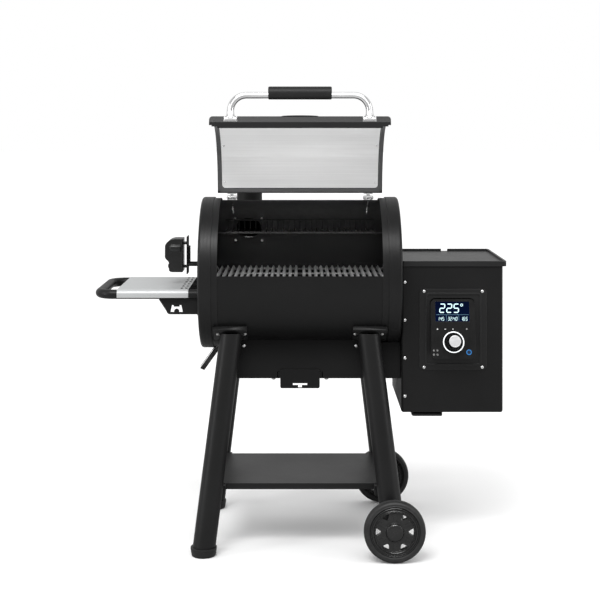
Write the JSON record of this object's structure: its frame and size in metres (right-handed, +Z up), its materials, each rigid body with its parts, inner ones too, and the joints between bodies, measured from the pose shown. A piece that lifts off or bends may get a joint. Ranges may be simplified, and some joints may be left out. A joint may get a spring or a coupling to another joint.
{
  "type": "pellet smoker grill",
  "caption": "Drum-shaped pellet smoker grill on splayed legs, lid open, with side pellet hopper and controller, steel side shelf, rear flue, bottom shelf and wheels.",
  "frame": {"origin": "on the ground below the middle of the drum", "axes": "+X towards the hopper, +Y to the back, +Z up; the drum's axis runs along X"},
  "size_m": [1.318, 0.683, 1.4615],
  "materials": {
    "black_enamel": "satin powder coat",
    "hopper_lid_enamel": "satin powder coat",
    "leg_enamel": "satin powder coat",
    "stainless": "brushed",
    "chrome": "polished",
    "grate_enamel": "porcelain coated",
    "rack_wire": "plated wire",
    "fire_steel": "heat stained",
    "zinc_steel": "zinc plated",
    "motor_body": "matt",
    "black_plastic": "fine grain",
    "grip_plastic": "satin",
    "display": "gloss",
    "board": "solder mask"
  },
  "bodies": {
    "root": {"barrel_shell": "black_enamel", "left_end_cap": "black_enamel", "right_end_cap": "black_enamel", "firebox": "black_enamel", "burn_pot": "fire_steel", "igniter_rod": "fire_steel", "heat_baffle": "fire_steel", "grease_tray": "fire_steel", "grease_spout": "black_enamel", "left_grate": "grate_enamel", "right_grate": "grate_enamel", "warming_rack": "rack_wire", "auger_tube": "zinc_steel", "auger_motor": "motor_body", "fan_housing": "black_enamel", "hopper_shell": "black_enamel", "hopper_bin": "zinc_steel", "hopper_guard": "rack_wire", "dump_chute": "black_enamel", "control_bezel": "black_plastic", "control_panel": "black_plastic", "display_window": "display", "circuit_board": "board", "probe_jacks": "zinc_steel", "power_inlet": "black_plastic", "body_hinge_leaves": "chrome", "hinge_pins": "chrome", "chimney_pipe": "black_enamel", "shelf_top": "stainless", "shelf_frame": "black_enamel", "shelf_bracket": "black_enamel", "rotisserie_motor": "black_plastic", "rotisserie_bracket": "black_enamel", "front_left_leg": "leg_enamel", "rear_left_leg": "leg_enamel", "front_right_leg": "leg_enamel", "rear_right_leg": "leg_enamel", "leg_saddles": "black_enamel", "leveling_feet": "black_plastic", "bottom_shelf": "leg_enamel", "wheel_axles": "zinc_steel", "body_screws": "zinc_steel"},
    "lid": {"lid_shell": "black_enamel", "lid_liner": "stainless", "lid_lip": "black_enamel", "lid_handle": "chrome", "lid_grip": "grip_plastic", "lid_hinge_leaves": "chrome", "lid_rivets": "chrome"},
    "hopper_lid": {"hopper_lid": "hopper_lid_enamel"},
    "front_wheel": {"front_wheel": "black_plastic"},
    "rear_wheel": {"rear_wheel": "black_plastic"},
    "control_knob": {"control_knob": "black_plastic"},
    "power_button": {"power_button": "black_plastic"},
    "ash_pan": {"ash_pan": "black_enamel"},
    "dump_slide": {"dump_slide": "black_enamel"},
    "auger_screw": {"auger_screw": "zinc_steel"},
    "fan_impeller": {"fan_impeller": "zinc_steel"},
    "rotisserie_socket": {"rotisserie_socket": "zinc_steel"},
    "chimney_cap": {"chimney_cap": "black_enamel"}
  },
  "joints": [
    {"name": "lid_hinge", "type": "hinge", "parent": "root", "child": "lid", "pos_m": [0, 0.067, 1.0969], "axis": [1, 0, 0], "range_deg": [0, 75]},
    {"name": "hopper_lid_hinge", "type": "hinge", "parent": "root", "child": "hopper_lid", "pos_m": [0.486, 0.264, 0.893], "axis": [-1, 0, 0], "range_deg": [0, 100]},
    {"name": "front_wheel_spin", "type": "hinge", "parent": "root", "child": "front_wheel", "pos_m": [0.2905, -0.32, 0.095], "axis": [0, 1, 0], "continuous": true},
    {"name": "rear_wheel_spin", "type": "hinge", "parent": "root", "child": "rear_wheel", "pos_m": [0.2905, 0.32, 0.095], "axis": [0, 1, 0], "continuous": true},
    {"name": "knob_turn", "type": "hinge", "parent": "root", "child": "control_knob", "pos_m": [0.4865, -0.1894, 0.65307], "axis": [0, -0.9744, 0.225], "continuous": true},
    {"name": "power_press", "type": "slide", "parent": "root", "child": "power_button", "axis": [0, 0.9744, -0.225], "range_m": [0, 0.0015]},
    {"name": "ash_pan_pull", "type": "slide", "parent": "root", "child": "ash_pan", "axis": [0, -1, 0], "range_m": [0, 0.18]},
    {"name": "dump_slide_pull", "type": "slide", "parent": "root", "child": "dump_slide", "axis": [0, -1, 0], "range_m": [0, 0.11]},
    {"name": "auger_spin", "type": "hinge", "parent": "root", "child": "auger_screw", "pos_m": [0.32, 0, 0.575], "axis": [1, 0, 0], "continuous": true},
    {"name": "fan_spin", "type": "hinge", "parent": "root", "child": "fan_impeller", "pos_m": [0.35, 0.078, 0.56], "axis": [1, 0, 0], "continuous": true},
    {"name": "rotisserie_spin", "type": "hinge", "parent": "root", "child": "rotisserie_socket", "pos_m": [-0.38, 0, 0.91], "axis": [1, 0, 0], "continuous": true},
    {"name": "chimney_cap_lift", "type": "slide", "parent": "root", "child": "chimney_cap", "axis": [0, 0, 1], "range_m": [0, 0.025]}
  ]
}
